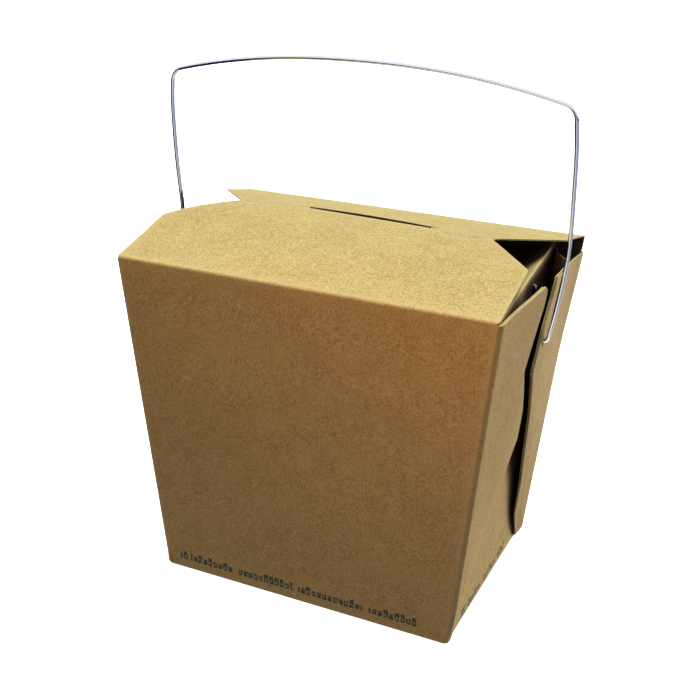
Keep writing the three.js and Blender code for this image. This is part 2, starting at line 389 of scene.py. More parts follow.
def mark_creases(obj, lines):
    """Stores how near each point is to a fold or a cut edge, from 0 to 1."""
    points = np.concatenate([np.asarray(line, float).reshape(-1, 3) for line in lines])
    points = points[~np.isnan(points[:, 0])]
    tree = KDTree(len(points))
    for i, point in enumerate(points):
        tree.insert(point, i)
    tree.balance()
    near = [math.exp(-tree.find(v.co / MM)[2] / CREASE_REACH) for v in obj.data.vertices]
    store(obj, "crease", near)


def mark_painted_shade(obj, amount):
    """Stores painted shade at each point, from 0 to 1: how dark it is painted."""
    points = np.array([v.co for v in obj.data.vertices]) / MM
    store(obj, "painted_shade", amount(*points.T))


def beside_webs(x, y, z):
    """Painted shade on the side walls behind their webs, and on the dust flaps under the lid."""
    # Painted shade darkens the dust flaps inward and to the rear
    inward = wall_x(RIM_HEIGHT) - lean(y, RIM_HEIGHT) - np.abs(x) - 0.3
    flap = smooth(inward / 9) * rise(y, -8, 16) * (z > 80)
    # Painted shade darkens the walls near the rear web's edge low down, and all over higher up
    reach = 1 + 7 * rise(z, 10, 12)
    near = 1 - rise(along(REAR_WEB["edge"], z) - y, 0.5, reach)
    wall = fall(z, RIM_HEIGHT - 0.2, 3) * (np.abs(x) > wall_x(z) - lean(y, z) - 0.6)
    return np.maximum(flap, wall * np.maximum(near, rise(z, 50, 8)))


def behind_rear_web(x, y, z):
    """Painted shade on the crank of the wire and the stem of its hook, below the tip."""
    return (np.abs(x) < PIVOT_LEG_X - 2 * WIRE_RADIUS) * (z < HOOK_TIP_HEIGHT - HOOK_GLINT / 2)


def at_slot_lip(x, y, z):
    """Rear lip of the slot, in the shade of the front flap."""
    lip = smooth(1 - np.abs(y - SLOT_REAR - askew(x)) / 0.6)
    return lip * ((x > SLOT_FROM) & (x < SLOT_TO)) * (z > 90)


def apply_modifiers(obj):
    depsgraph = bpy.context.evaluated_depsgraph_get()
    mesh = bpy.data.meshes.new_from_object(obj.evaluated_get(depsgraph))
    obj.modifiers.clear()
    obj.data = mesh
    return obj


def thicken(obj, inner_finish):
    """Turns a sheet into board, its outer face kept where it is."""
    solidify = obj.modifiers.new("board", "SOLIDIFY")
    solidify.thickness = BOARD * MM
    solidify.offset = -1
    solidify.use_even_offset = True
    solidify.thickness_clamp = 0
    solidify.material_offset_rim = CUT_FINISH
    solidify.material_offset = inner_finish
    return apply_modifiers(obj)


def soften_cuts(obj):
    bevel = obj.modifiers.new("cut", "BEVEL")
    bevel.width = CUT_BEVEL * MM
    bevel.segments = 1
    bevel.limit_method = "ANGLE"
    bevel.angle_limit = math.radians(60)
    return apply_modifiers(obj)


def shade(obj, angle=40):
    """Smooth shading, with edges kept sharp above the angle in degrees."""
    obj.data.shade_smooth()
    obj.data.set_sharp_from_angle(angle=math.radians(angle))


# Front and rear walls with their webs and lid flaps


def web_columns(width):
    """Distances from the corner, close together at both ends of the web."""
    squeeze = min(1, width / 8)
    near = np.array([0.25, 0.5, 0.8, 1.1, 1.4]) * squeeze
    far = width - np.array([1.6, 0.8, 0.35, 0.12, 0]) * squeeze
    middle = np.linspace(near[-1], far[0], WEB_COLUMNS - len(near) - len(far) + 2)[1:-1]
    return np.concatenate([near, middle, far])


def web_level(corner_z, web):
    """Level on a web's free edge that belongs to a height on its corner."""
    levels = np.linspace(0, web["top"], 400)
    heights = levels - web["top_drop"] * (levels / web["top"]) ** 4
    return np.interp(corner_z, heights, levels)


def web_heights(profile, first, count, web):
    """Height on the corner of each row that has webs beside it. The rest are NaN."""
    heights = np.full(len(profile), np.nan)
    levels = profile[first : first + count, 1]
    heights[first : first + count] = np.where(levels <= web_corner_top(web), levels, np.nan)
    return heights


def web_row(z, web, side, hand):
    """Points of one row of a web, out to its free edge and back behind."""
    level = web_level(z, web)
    corner = side * wall_y(z)
    width = abs(along(web["edge"], level) - corner)
    distance = web_columns(width)
    share = distance / width
    height = lerp(z, level, share)
    # Low down the free edge curls in. The sheet ripples where no fold holds it.
    curl = WEB_CURL * fall(z, 60, 25) * smooth(1 - (width - distance) / 7)
    ripple = WEB_RIPPLE * wave(distance * 1.3, height, 5 + side) * smooth(distance / 12)
    ripple *= fall(height, web["top"], 30)
    offset = web_offset(distance, height, web, hand) - curl + ripple
    spread = rear_flare(height) * (1 - smooth(share * 2)) * (side > 0)
    y = corner - side * distance
    outer = np.stack([wall_x(height) + offset + spread, y, height], axis=1)

    # The second ply lies behind it and parts from it above the fold's top
    apart = web["apart"] * rise(level - web["fold_top"], 3, 25) * smooth(distance / 20)
    inner = outer.copy()
    inner[:, 0] -= np.minimum(TWO_PLIES + apart, offset + 0.1) + spread
    # Near the corner of a web that splays, it leans in with the side wall
    if web["splay"]:
        inner[:, 0] -= lean(TOP_DEPTH / 2, height) * (1 - smooth(share / web["splay"]))
    # Where the plies have parted, its edge falls a little short of the outer one
    inner[:, 1] += side * 0.35 * share**6 * rise(level, web["fold_top"], 4)
    inner = inner[::-1][:-2]
    turn = web_turn(outer[-1], inner[0, 0], side)
    if level > web["fold_top"]:
        turn[:] = np.nan
    return np.concatenate([outer, turn, inner])


def web_turn(edge, inner_x, side):
    """The board's turn round a web's free edge, where its two plies are one."""
    half = (edge[0] - inner_x) / 2
    angle = np.linspace(0, math.pi, WEB_TURN_STEPS + 1)[1:-1]
    turn = np.empty((len(angle), 3))
    turn[:, 0] = edge[0] - half * (1 - np.cos(angle))
    turn[:, 1] = edge[1] - side * half * np.sin(angle)
    turn[:, 2] = edge[2]
    return turn


def corner_turn(z, half, web, side, hand):
    """The bend of the board round an upright corner of the box."""
    x = wall_x(z) + rear_flare(z) * (side > 0)
    y = side * wall_y(z)
    end = np.array([x + web_offset(FOLD * 0.4, z, web, hand), y - side * 0.25, z])
    start = np.array([half, y, z])
    corner = np.array([x + 0.1, y, z])
    return bend(start, corner, end, np.linspace(0, 1, FOLD_STEPS + 1)[1:-1, None])


def flap_line(breaks):
    """Rows (Y, height) of a lid flap at the middle of the box."""
    y = rows(breaks, LID_FINE)
    return np.stack([y, lid_height(0, y)], axis=1)


def wrap_grid(profile, half_width, web_z, web, side, across):
    """A grid over the middle panels, with the webs beside the wall rows."""
    lines = []
    count = FOLD_STEPS - 1 + len(web_row(50, web, side, 1))
    for (y, z), half, corner_z in zip(profile, half_width, web_z):
        middle = np.stack([across * half, np.full_like(across, y), np.full_like(across, z)], 1)
        flanks = []
        for hand in (-1, 1):
            flank = np.full((count, 3), np.nan)
            if not np.isnan(corner_z):
                turn = corner_turn(corner_z, half, web, side, hand)
                flank = np.concatenate([turn, web_row(corner_z, web, side, hand)]) * [hand, 1, 1]
            flanks.append(flank)
        lines.append(np.concatenate([flanks[0][::-1], middle, flanks[1]]))
    return np.array(lines)


def middle_columns(points, across):
    """The columns of a wrap between its two corners."""
    first = (points.shape[1] - len(across)) // 2
    return slice(first, first + len(across))


def across_columns(half, marks):
    """Shares of the half width from -1 to 1, with one at each mark."""
    right = rows([0, *(m / half for m in marks), 1], FINE / half)
    return np.concatenate([-right[:0:-1], right])


def web_corner_top(web):
    """Height at which a web ends on the corner of the box."""
    return web["top"] - web["top_drop"]


def wall_rows(side, top, web):
    """Rows (Y, height) up a wall, with one at each break in its webs."""
    breaks = {FOLD, top, web["fold_top"]}
    corner_top = web_corner_top(web)
    if corner_top < top - 1:
        breaks |= {corner_top, corner_top + 0.2}
    breaks |= {z for z, _ in web["edge"] if FOLD < z < top - 1}
    z = rows(sorted(breaks), FINE)
    return np.stack([side * wall_y(z), z], axis=1)


def belly(points, side, seed):
    """Lets a wall swell and ripple a little between its folds."""
    x, z = points[..., 0], points[..., 2]
    free = smooth((1 - np.abs(x) / wall_x(z)) * 4) * smooth(z / 25) * fall(z, 92, 35)
    points[..., 1] += side * free * (WALL_BELLY * 0.7 + WALL_BELLY * wave(x, z, seed))


def front_board():
    """Base, front wall, front webs, front lid flap and tongue: one folded piece."""
    rim = (-TOP_DEPTH / 2, RIM_HEIGHT)
    base_y = BASE_DEPTH / 2
    floor_y = rows([base_y - FOLD, -base_y + FOLD], BASE_FINE)
    base = np.stack([floor_y, np.zeros_like(floor_y)], axis=1)
    heel = fold((0, 0), (-base_y, 0), rim, FOLD)[1:]
    walls = wall_rows(FRONT, RIM_HEIGHT - RIM_MARGIN, FRONT_WEB)
    flap = flap_line([rim[0] + WIDE_FOLD, FRONT_SHOULDER_Y, FLAP_OVERLAP_Y, WAIST_Y])
    brow = fold(walls[-1], rim, flap[0], WIDE_FOLD)[1:-1]
    tuck = np.array(TONGUE_BEND)
    profile = np.concatenate([base, heel, walls[1:], brow, flap, tuck])
    half = np.concatenate([
        np.full(len(base) + len(heel), wall_x(0) - FOLD),
        wall_x(walls[1:, 1]) - FOLD,
        np.linspace(wall_x(RIM_HEIGHT) - FOLD, TOP_WIDTH / 2, len(brow)),
        along(FRONT_FLAP_OUTLINE, flap[:, 0]),
        WAIST_HALF_WIDTH * np.linspace(1, TONGUE_END_WIDTH, len(tuck)),
    ])
    start = len(base) + len(heel) - 1
    corner_z = web_heights(profile, start, len(walls), FRONT_WEB)

    across = across_columns(WAIST_HALF_WIDTH, [x for x, _ in FREE_EDGE[1:-1]])
    points = wrap_grid(profile, half, corner_z, FRONT_WEB, FRONT, across)
    panel = middle_columns(points, across)
    middle = points[:, panel]
    belly(points[start : start + len(walls)], FRONT, 3)
    shape_front_flap(middle[-len(tuck) - len(flap) :], len(flap), tuck)

    keep = all_faces(points)
    x_waist = np.abs(across[:-1] + across[1:]) / 2 * WAIST_HALF_WIDTH
    keep[-len(tuck) :, panel.start : panel.stop - 1] &= x_waist < TONGUE_HALF_WIDTH
    obj = grid_object("front_wall_and_lid_flap", points, keep)
    flap_rows = middle[-len(tuck) - len(flap) : -len(tuck)]
    creases = [
        middle[start],
        flap_rows[0],
        flap_rows[:, 0],
        flap_rows[:, -1],
        flap_rows[-1],
        *web_creases(points, panel.stop),
    ]
    mark_creases(obj, creases)
    return obj


def shape_front_flap(flap, count, tuck):
    """Draws the flap out to its free edge, with the tongue bent down behind it."""
    x_end = flap[count - 1, :, 0]
    amount = rise(flap[:count, :, 1], -14, WAIST_Y + 14)
    flap[:count, :, 1] += (free_edge(x_end) - WAIST_Y) * amount
    x, y = flap[:count, :, 0], flap[:count, :, 1]
    free = rise(y, -TOP_DEPTH / 2, 12) * fall(y, -2, 12)
    flap[:count, :, 2] = lid_height(x, y) + FRONT_FLAP_RIPPLE * free * (wave(x, y * 1.6, 12) - 1)
    edge_y = free_edge(flap[count:, :, 0])
    flap[count:, :, 1] = edge_y + tuck[:, :1]
    flap[count:, :, 2] = lid_height(flap[count:, :, 0], edge_y) + tuck[:, 1:]


def web_creases(points, right):
    """Lines of the corners and the free edges of both webs of a wrap."""
    edge = right + FOLD_STEPS - 1 + WEB_COLUMNS - 1
    last = points.shape[1] - 1
    places = [right, right + 2, edge, edge + WEB_TURN_STEPS]
    return [points[:, c] for c in places] + [points[:, last - c] for c in places]


def slot_faces(profile, across, slot_half):
    """Which faces between the corners the slot takes out."""
    x = (across[:-1] + across[1:]) / 2 * slot_half
    y = (profile[:-1, 0] + profile[1:, 0]) / 2
    in_row = (y > SLOT_FRONT) & (y < SLOT_REAR)
    in_column = (x > SLOT_FROM) & (x < SLOT_TO)
    return in_row[:, None] & in_column[None, :]


def rear_board():
    """Rear wall, rear webs and rear lid flap with its slot: one folded piece."""
    rim = (TOP_DEPTH / 2, RIM_HEIGHT + REAR_RIM_RISE)
    heel = fold((0, 0), (BASE_DEPTH / 2, 0), rim, FOLD)
    walls = wall_rows(REAR, rim[1] - RIM_MARGIN, REAR_WEB)
    flap = flap_line([
        rim[0] - WIDE_FOLD, REAR_SHOULDER_Y, SLOT_REAR, SLOT_FRONT, WAIST_Y, FLAP_OVERLAP_Y,
    ])
    brow = fold(walls[-1], rim, flap[0], WIDE_FOLD)[1:-1]
    profile = np.concatenate([heel, walls[1:], brow, flap])
    wall_z = walls[1:, 1]
    rim_half = along(REAR_FLAP_OUTLINE, rim[0])
    half = np.concatenate([
        np.full(len(heel), wall_x(0) - FOLD),
        wall_x(wall_z) + rear_flare(wall_z) - FOLD * (wall_z <= web_corner_top(REAR_WEB)),
        np.linspace(wall_x(rim[1]) + REAR_RIM_FLARE, rim_half, len(brow)),
        along(REAR_FLAP_OUTLINE, flap[:, 0]),
    ])
    start = len(heel) - 1
    corner_z = web_heights(profile, start, len(walls), REAR_WEB)

    slot_half = along(REAR_FLAP_OUTLINE, SLOT_REAR)
    across = across_columns(slot_half, [-SLOT_FROM, SLOT_TO])
    points = wrap_grid(profile, half, corner_z, REAR_WEB, REAR, across)
    panel = middle_columns(points, across)
    middle = points[:, panel]
    belly(points[start : start + len(walls)], REAR, 8)
    shape_rear_flap(middle[-len(flap) :])

    keep = all_faces(points)
    keep[:, panel.start : panel.stop - 1] &= ~slot_faces(profile, across, slot_half)
    obj = grid_object("rear_wall_and_lid_flap", points, keep, flip=True)
    creases = [
        middle[start],
        middle[-len(flap)],
        middle[-len(flap) :, 0],
        middle[-len(flap) :, -1],
        *web_creases(points, panel.stop),
    ]
    mark_creases(obj, creases)
    mark_painted_shade(obj, at_slot_lip)
    return obj


def shape_rear_flap(flap):
    """Turns the slot askew, lifts its rear lip and dips the flap under the front one."""
    x, y = flap[..., 0], flap[..., 1]
    lip = SLOT_LIP * np.clip(1 - (x / TONGUE_HALF_WIDTH) ** 2, 0, 1)
    lip = lip * np.exp(-(y - SLOT_REAR) / 4) * (y > SLOT_REAR - 0.1)
    y += askew(x) * fall(np.abs(y - SLOT_REAR), 14, 8)
    lapped = 1 - rise(y - free_edge(x), 0.2, 1.5)
    flap[..., 2] = lid_height(x, y) + lip - (BOARD + 0.05) * lapped


def line_at(x, y, z):
    """Points of one level line of a side wall."""
    return np.stack([x, y, np.full_like(y, z)], axis=1)


def side_wall_lines(share):
    """Lines up a side wall, from the fold at its heel to the fold at its ridge."""
    lines = []
    for t in np.linspace(0, 1, FOLD_STEPS + 1)[:-1]:
        x = np.full_like(share, wall_x(0) - WIDE_FOLD * (1 - t) ** 2)
        lines.append(line_at(x, share * (wall_y(0) - SIDE_INSET), WIDE_FOLD * t**2))
    for z in rows([WIDE_FOLD, RIM_HEIGHT - WIDE_FOLD], FINE):
        y = share * (wall_y(z) - SIDE_INSET)
        ripple = SIDE_RIPPLE * wave(y, z, 21) * smooth(z / 20) * fall(z, 95, 20)
        lines.append(line_at(wall_x(z) - lean(y, z) + ripple, y, z))
    return lines


def dust_flap_lines(share):
    """Lines over the ridge of a side wall and down its dust flap."""
    lines = []
    y = share * (wall_y(RIM_HEIGHT) - SIDE_INSET)
    ridge_x = wall_x(RIM_HEIGHT) - lean(y, RIM_HEIGHT)
    inward = np.array([-math.cos(DUST_FLAP_ANGLE), -math.sin(DUST_FLAP_ANGLE)])
    for t in np.linspace(0, 1, FOLD_STEPS + 2)[1:]:
        x = ridge_x + WIDE_FOLD * t**2 * inward[0]
        z = RIM_HEIGHT - WIDE_FOLD * (1 - t) ** 2 + WIDE_FOLD * t**2 * inward[1]
        lines.append(line_at(x, y, z))
    for run in rows([WIDE_FOLD, DUST_FLAP_LENGTH], FINE)[1:]:
        pull = 1 - DUST_FLAP_TAPER * smooth(run / DUST_FLAP_LENGTH)
        sag = DUST_FLAP_SAG * math.sin(math.pi * run / DUST_FLAP_LENGTH)
        x = ridge_x + run * inward[0]
        lines.append(line_at(x, y * pull, RIM_HEIGHT + run * inward[1] - sag))
    return lines


def side_wall(name, sign):
    """Side wall with the dust flap folded in and down from its ridge."""
    share = np.concatenate([np.linspace(-1, 0.84, 44), np.linspace(0.84, 1, 14)[1:]])
    wall = side_wall_lines(share)
    points = np.array(wall + dust_flap_lines(share)) * [sign, 1, 1]
    keep = all_faces(points)
    keep[len(wall) + 1 :] &= (share[1:] < DUST_FLAP_END)[None, :]
    obj = grid_object(name, points, keep, flip=sign < 0)
    mark_creases(obj, [points[FOLD_STEPS], points[len(wall) + FOLD_STEPS - 1], points[-1]])
    mark_painted_shade(obj, beside_webs)
    return obj


def pierced_hole():
    """Cutter for the holes that the wire has torn open in the rear webs."""
    start, end = (turn * math.pi for turn in HOLE_ARC)
    angles = np.linspace(start, end, 13)
    outline = [(math.cos(a) * HOLE_RADIUS, math.sin(a) * HOLE_RADIUS) for a in angles]
    outline.append(TEAR_END)
    count = len(outline)
    verts, faces = [], []
    for x0, x1 in ((HOLE_FROM_X, HOLE_TO_X), (-HOLE_TO_X, -HOLE_FROM_X)):
        base = len(verts)
        for x in (x0, x1):
            verts += [(x * MM, y * MM, (PIVOT_HEIGHT + z) * MM) for y, z in outline]
        ring = [base + i for i in range(count)]
        faces.append(tuple(ring[::-1]))
        faces.append(tuple(i + count for i in ring))
        for i in range(count):
            j = (i + 1) % count
            faces.append((ring[i], ring[j], ring[j] + count, ring[i] + count))
    mesh = bpy.data.meshes.new("pierced_hole")
    mesh.from_pydata(verts, [], faces)
    mesh.update()
    return link(bpy.data.objects.new("pierced_hole", mesh))


def pierce(obj):
    """Cuts both holes for the wire."""
    cutter = pierced_hole()
    cut = obj.modifiers.new("hole", "BOOLEAN")
    cut.operation = "DIFFERENCE"
    cut.solver = "EXACT"
    cut.object = cutter
    apply_modifiers(obj)
    bpy.data.objects.remove(cutter)


# Wire handle


def through(points, steps):
    """A smooth line through the points, with steps between each two."""
    p = np.concatenate([[2 * points[0] - points[1]], points, [2 * points[-1] - points[-2]]])
    t = np.linspace(0, 1, steps, endpoint=False)[:, None]
    parts = [
        b + t / 2 * (c - a + t * (2 * a - 5 * b + 4 * c - d + t * (3 * (b - c) + d - a)))
        for a, b, c, d in zip(p, p[1:], p[2:], p[3:])
    ]
    return np.concatenate([*parts, points[-1:]])


def leg_points(leg, radius):
    shares = np.linspace(0, 1, len(leg))
    x = np.interp(radius / HANDLE_CORNER_RADIUS, shares, leg)
    return np.stack([x, np.zeros_like(x), PIVOT_HEIGHT + radius], axis=1)


def bar_points(x):
    arch = CROSSBAR_RISE * (1 - (x / HANDLE_CORNER_X) ** CROSSBAR_POWER)
    return np.stack([x, np.zeros_like(x), PIVOT_HEIGHT + HANDLE_CORNER_RADIUS + arch], axis=1)


def half_wire(leg):
    """Centre line at +X, from the hook's tip to the middle of the crossbar."""
    tip = (HOOK_X, 0, HOOK_TIP_HEIGHT)
    heel = (HOOK_X, 0, PIVOT_HEIGHT)
    knee = (PIVOT_LEG_X, 0, PIVOT_HEIGHT)
    radius = np.linspace(CRANK_BEND + 2, HANDLE_CORNER_RADIUS - TOP_BEND, 12)
    upright = through(leg_points(leg, radius), 4)
    top = leg_points(leg, np.array([HANDLE_CORNER_RADIUS]))[0]
    bar = bar_points(np.linspace(HANDLE_CORNER_X - TOP_BEND, 0, 24))
    return np.concatenate([
        [tip, np.subtract(tip, (0, 0, HOOK_GLINT))],
        fold(tip, heel, knee, CRANK_BEND, 7),
        fold(heel, knee, upright[0], CRANK_BEND, 7),
        upright,
        fold(upright[-1], top, bar[0], TOP_BEND * 0.98, 9)[1:-1],
        bar,
    ])


def wire_path():
    """Centre line of the wire, from one hook tip over the handle to the other."""
    left = half_wire(LEFT_LEG)[::-1][1:] * [-1, 1, 1]
    return np.concatenate([half_wire(RIGHT_LEG), left])


def curve_object(name, path):
    data = bpy.data.curves.new(name, "CURVE")
    data.dimensions = "3D"
    spline = data.splines.new("POLY")
    spline.points.add(len(path) - 1)
    flat = np.concatenate([path * MM, np.ones((len(path), 1))], axis=1)
    spline.points.foreach_set("co", flat.ravel())
    return link(bpy.data.objects.new(name, data))


def drawn_wire_tree(material):
    """Geometry Nodes that draw round wire along a curve."""
    tree = bpy.data.node_groups.new("drawn_wire", "GeometryNodeTree")
    tree.interface.new_socket("Geometry", in_out="INPUT", socket_type="NodeSocketGeometry")
    radius = tree.interface.new_socket("Radius", in_out="INPUT", socket_type="NodeSocketFloat")
    tree.interface.new_socket("Geometry", in_out="OUTPUT", socket_type="NodeSocketGeometry")
    nodes, links = tree.nodes, tree.links
    enter = nodes.new("NodeGroupInput")
    leave = nodes.new("NodeGroupOutput")
    circle = nodes.new("GeometryNodeCurvePrimitiveCircle")
    circle.inputs["Resolution"].default_value = WIRE_SIDES
    draw = nodes.new("GeometryNodeCurveToMesh")
    draw.inputs["Fill Caps"].default_value = True
    finish = nodes.new("GeometryNodeSetMaterial")
    finish.inputs["Material"].default_value = material
    whole = nodes.new("GeometryNodeRealizeInstances")
    links.new(enter.outputs["Geometry"], draw.inputs["Curve"])
    links.new(enter.outputs["Radius"], circle.inputs["Radius"])
    links.new(circle.outputs["Curve"], draw.inputs["Profile Curve"])
    links.new(draw.outputs["Mesh"], whole.inputs["Geometry"])
    links.new(whole.outputs["Geometry"], finish.inputs["Geometry"])
    links.new(finish.outputs["Geometry"], leave.inputs["Geometry"])
    return tree, radius.identifier


def wire_handle(material):
    guide = curve_object("wire_centre_line", wire_path())
    tree, radius = drawn_wire_tree(material)
    nodes = guide.modifiers.new("drawn", "NODES")
    nodes.node_group = tree
    nodes[radius] = WIRE_RADIUS * MM
    depsgraph = bpy.context.evaluated_depsgraph_get()
    mesh = bpy.data.meshes.new_from_object(guide.evaluated_get(depsgraph))
    bpy.data.objects.remove(guide)
    obj = link(bpy.data.objects.new("bent_wire", mesh))
    mark_painted_shade(obj, behind_rear_web)
    shade(obj, 50)
    return obj


# Materials


class Sum:
    """A shader socket that takes part in sums written out in Python."""

    def __init__(self, tree, socket):
        self.tree = tree
        self.socket = socket

    def math(self, operation, *others, clamp=False):
        node = self.tree.nodes.new("ShaderNodeMath")
        node.operation = operation
        node.use_clamp = clamp
        for slot, value in zip(node.inputs, (self, *others)):
            if isinstance(value, Sum):
                self.tree.links.new(value.socket, slot)
            else:
                slot.default_value = value
        return Sum(self.tree, node.outputs[0])

    def __add__(self, other):
        return self.math("ADD", other)

    def __sub__(self, other):
        return self.math("SUBTRACT", other)

    def __mul__(self, other):
        return self.math("MULTIPLY", other)

    def __truediv__(self, other):
        return self.math("DIVIDE", other)

    def __gt__(self, other):
        return self.math("GREATER_THAN", other)

    def __lt__(self, other):
        return self.math("LESS_THAN", other)

    def __rsub__(self, other):
        return self.math("MULTIPLY", -1) + other

    __radd__ = __add__
    __rmul__ = __mul__


class Finish:
    """A material and the nodes that feed its shader."""

    def __init__(self, name):
        self.material = bpy.data.materials.new(name)
        self.material.use_nodes = True
        self.tree = self.material.node_tree
        self.shader = self.tree.nodes["Principled BSDF"]

    def node(self, kind, out=0, links=None, **values):
        """A node of the kind, its properties and inputs set by name."""
        node = self.tree.nodes.new(kind)
        for name, value in values.items():
            if hasattr(node, name):
                setattr(node, name, value)
            else:
                node.inputs[name.replace("_", " ").title()].default_value = value
        for name, value in (links or {}).items():
            self.tree.links.new(value.socket, node.inputs[name])
        return Sum(self.tree, node.outputs[out])

    def place(self):
        """Object coordinates in millimetres, as a vector and its three parts."""
        raw = self.node("ShaderNodeTexCoord", out="Object")
        vector = self.node(
            "ShaderNodeVectorMath", operation="SCALE", links={"Vector": raw}, Scale=1 / MM
        )
        parts = self.node("ShaderNodeSeparateXYZ", links={"Vector": vector})
        outputs = parts.socket.node.outputs
        return vector, *(Sum(self.tree, o) for o in outputs)

    def noise(self, vector, scale, detail=2.0, roughness=0.5, distortion=0.0):
        return self.node(
            "ShaderNodeTexNoise",
            links={"Vector": vector},
            Scale=scale,
            Detail=detail,
            Roughness=roughness,
            Distortion=distortion,
        )

    def mix(self, factor, a, b):
        """Colour a, or b where the factor is 1 or more."""
        node = self.tree.nodes.new("ShaderNodeMix")
        node.data_type = "RGBA"
        node.clamp_factor = True
        slots = [s for s in node.inputs if s.type == "RGBA"]
        self.tree.links.new(factor.socket, node.inputs[0])
        for slot, value in zip(slots, (a, b)):
            if isinstance(value, Sum):
                self.tree.links.new(value.socket, slot)
            else:
                slot.default_value = (*value, 1)
        return Sum(self.tree, next(s for s in node.outputs if s.type == "RGBA"))

    def feed(self, name, value):
        """Sets an input of the shader, or links it to a socket."""
        if isinstance(value, Sum):
            self.tree.links.new(value.socket, self.shader.inputs[name])
        else:
            self.shader.inputs[name].default_value = value


# Colours of the board and its print, and painted shade for the board's inner face and for board and
# wire where they lie in the dark
KRAFT = (0.54, 0.36, 0.123)
KRAFT_DARK = (0.343, 0.215, 0.058)
KRAFT_PALE = (0.686, 0.505, 0.230)
KRAFT_RED = (0.59, 0.355, 0.150)
KRAFT_YELLOW = (0.57, 0.405, 0.085)
INSIDE_PAINTED_SHADE = (0.07, 0.038, 0.018)
KRAFT_SHADED = (0.035, 0.020, 0.013)
WIRE_BRIGHT = (0.80, 0.82, 0.88)
WIRE_SHADED = (0.03, 0.028, 0.03)
FOLD_AND_CUT_PALE = (0.64, 0.47, 0.19)
INK = (0.030, 0.050, 0.026)

# Groups of the small print along the foot of the walls, as (from, to)
FRONT_PRINT = [(-41.1, -38.6), (-37.5, -22.7), (-20.7, -2.5), (-0.8, 20.0), (21.9, 36.8)]
SIDE_PRINT = [(-24, -20), (-18, -6), (-4, 8), (10, 17)]
PRINT_LOW = 3.2
PRINT_HIGH = 6.0
PRINT_PITCH = 1.75
SIDE_PRINT_DROP = 1.7

# Shares of the pitch that a dash and the slit in it take up, how far the slit
# keeps from the foot and the head of the dash, and how rough the dashes are
PRINT_DASH = (0.10, 0.86)
PRINT_SLIT = (0.36, 0.58)
SLIT_FOOT = 0.6
SLIT_HEAD = 1.4
RAGGED = 1.1
UNEVEN = 0.9


def within(value, low, high):
    """1 between the two bounds, else 0."""
    return (value - low > 0) * (value - high < 0)


def print_mask(finish, position, z, groups, seed):
    """Short upright dashes with ragged edges, in groups along a wall's foot."""
    vector, *_ = finish.place()
    ragged = (finish.noise(vector, 1.3) - 0.5) * RAGGED
    z = z + (finish.noise(vector, 1.7) - 0.5) * UNEVEN
    cell = (position / PRINT_PITCH).math("FLOOR")
    chance = finish.node("ShaderNodeTexWhiteNoise", noise_dimensions="1D", links={"W": cell + seed})
    spot = (position / PRINT_PITCH).math("FRACT") + ragged / PRINT_PITCH
    # By chance a dash is tall or short, and its slit starts low or high
    head = PRINT_HIGH - (chance > 0.35) * UNEVEN
    dash = within(spot, *PRINT_DASH) * (z > PRINT_LOW) * (head - z > 0)
    slit_low = PRINT_LOW + SLIT_FOOT + (chance > 0.6) * 0.7
    slit = within(spot, *PRINT_SLIT) * within(z, slit_low, PRINT_HIGH - SLIT_HEAD)
    dash = dash * (1 - slit)
    inside = None
    for low, high in groups:
        group = within(position, low, high)
        inside = group if inside is None else inside + group
    return dash * inside


def mottled(finish, vector, patch, grain, fibre):
    """Colour of bare board: clouds, patches of redder and yellower pulp, fibres and flecks."""
    cloud = finish.noise(vector, 0.11, detail=3, roughness=0.55)
    fleck = finish.noise(vector, 0.95, detail=2, roughness=0.5, distortion=1.0)
    hue = finish.noise(vector, 0.30, detail=4, roughness=0.65, distortion=0.8)
    tone = (cloud - 0.5) * 0.45 + (patch - 0.5) * 0.6 + (grain - 0.5) * 3.0 + (fibre - 0.5) * 1.7
    dark = (0 - tone).math("MAXIMUM", 0)
    pale = tone.math("MAXIMUM", 0)
    colour = finish.mix((hue - 0.54) * 5.0, KRAFT, KRAFT_RED)
    for amount, tint in (
        ((0.46 - hue) * 5.0, KRAFT_YELLOW),
        (dark * 1.6, KRAFT_DARK),
        (pale * 1.6, KRAFT_PALE),
        ((fleck - 0.66) * 6.0, KRAFT_PALE),
        ((0.33 - fleck) * 6.0, KRAFT_DARK),
    ):
        colour = finish.mix(amount, colour, tint)
    return colour


def printed(finish, x, y, z):
    """Where the small print lies: on the front and rear walls, and on both sides."""
    wall = y.math("ABSOLUTE") > BASE_DEPTH / 2 - 0.5
    flank = x.math("ABSOLUTE") > BASE_WIDTH / 2 - 1
    wall = print_mask(finish, x, z, FRONT_PRINT, 3) * wall
    flank = print_mask(finish, y, z + SIDE_PRINT_DROP, SIDE_PRINT, 11) * flank
    return wall + flank


